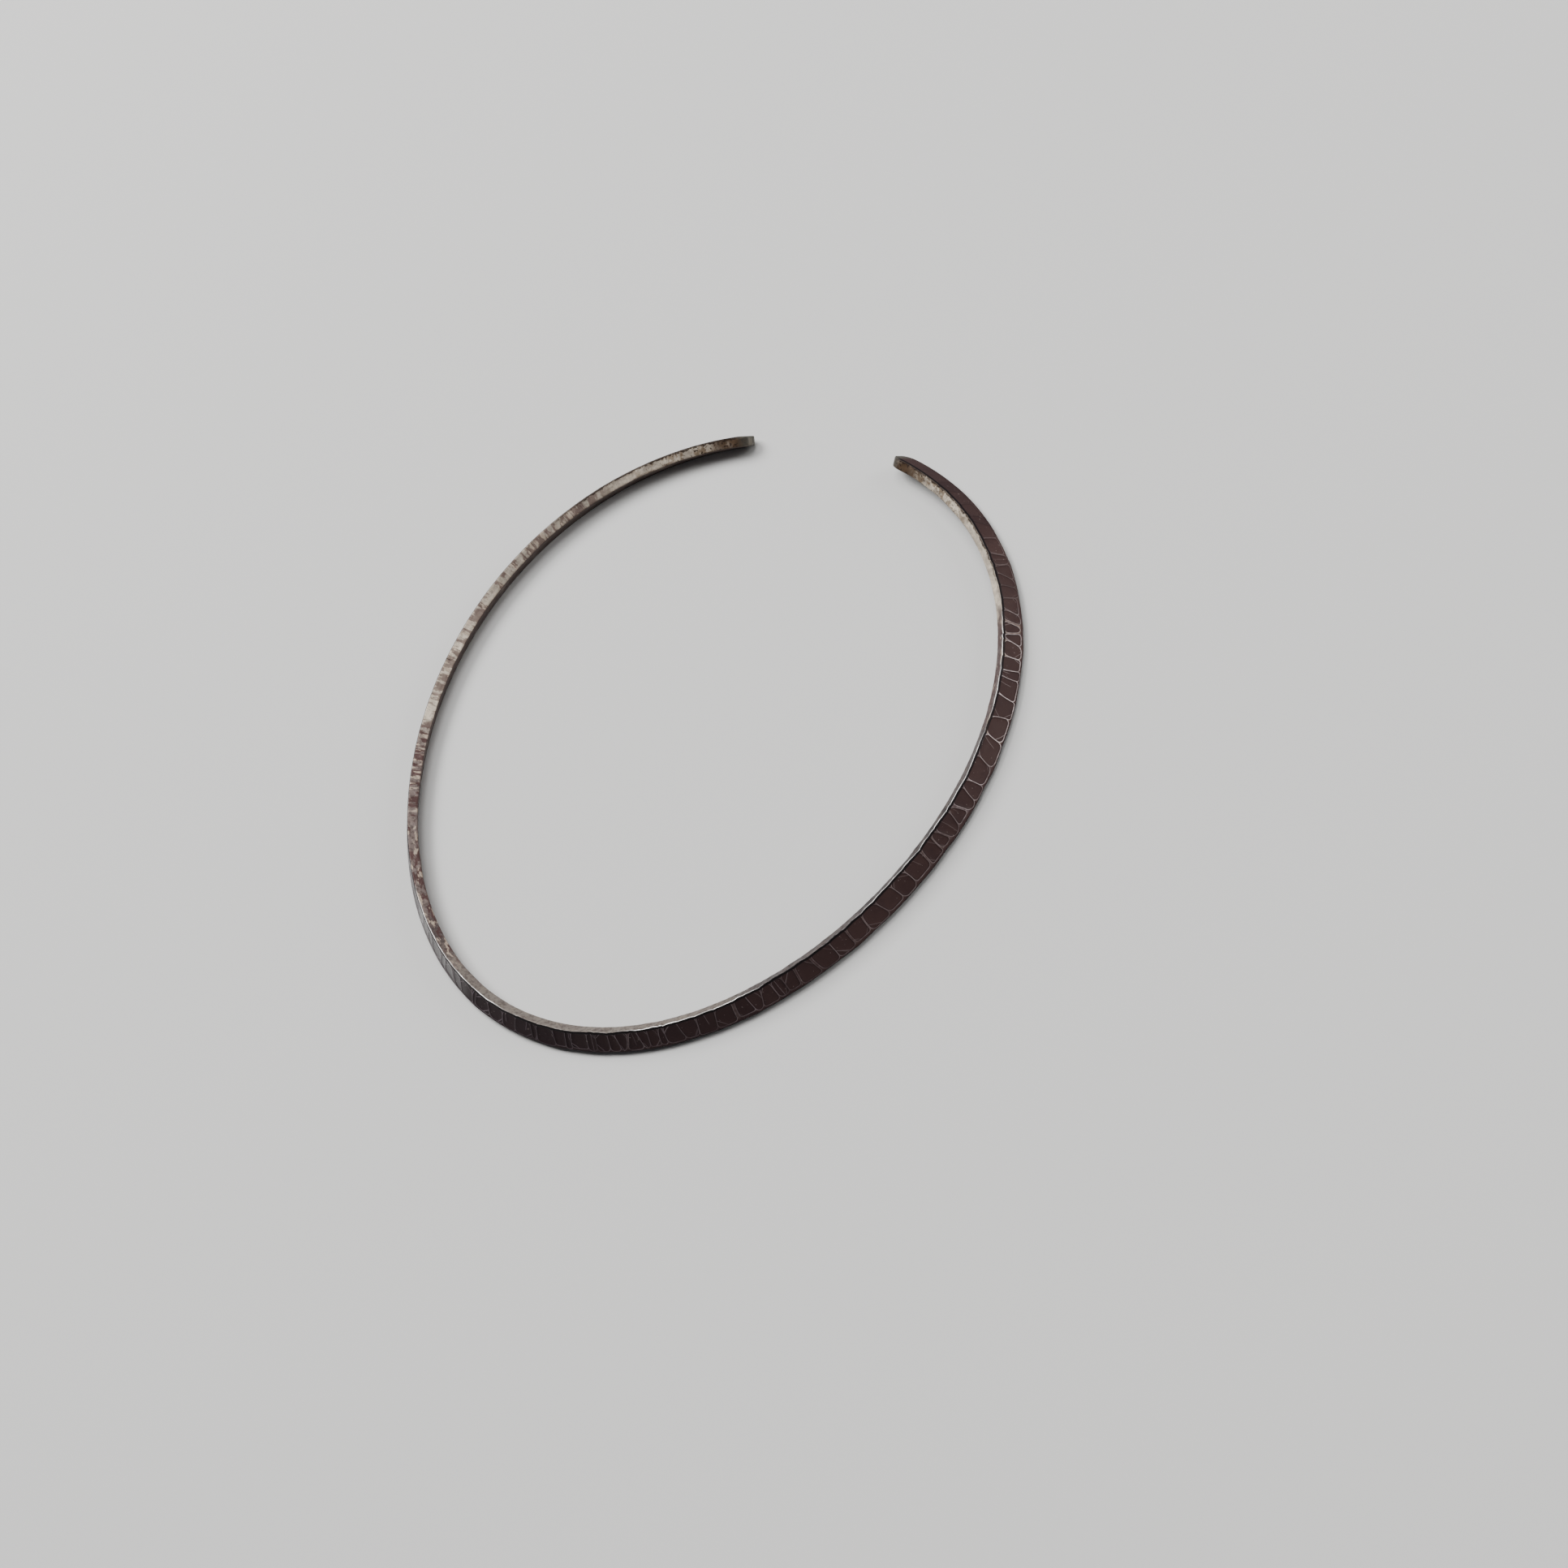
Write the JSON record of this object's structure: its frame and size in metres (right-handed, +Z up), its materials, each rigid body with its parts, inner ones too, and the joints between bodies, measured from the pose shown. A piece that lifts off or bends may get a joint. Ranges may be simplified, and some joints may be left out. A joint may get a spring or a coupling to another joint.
{
  "type": "neck ring",
  "caption": "Open neck ring bent from one flat silver bar, its outward-leaning dark face hammered in small facets, its two rounded ends left apart at the back.",
  "frame": {"origin": "middle of the bounding box, on the surface that the ring lies on", "axes": "+Z straight up through the ring as it lies flat, front of the neck at -Y, the opening at the back of the neck at +Y"},
  "size_m": [0.1392, 0.1358, 0.0046],
  "materials": {
    "torc": "silver with a dark brown satin patina on the hammered outer face, worn pale along the ridges, the corners and the top edge"
  },
  "bodies": {
    "root": {"torc": "torc"}
  },
  "joints": []
}
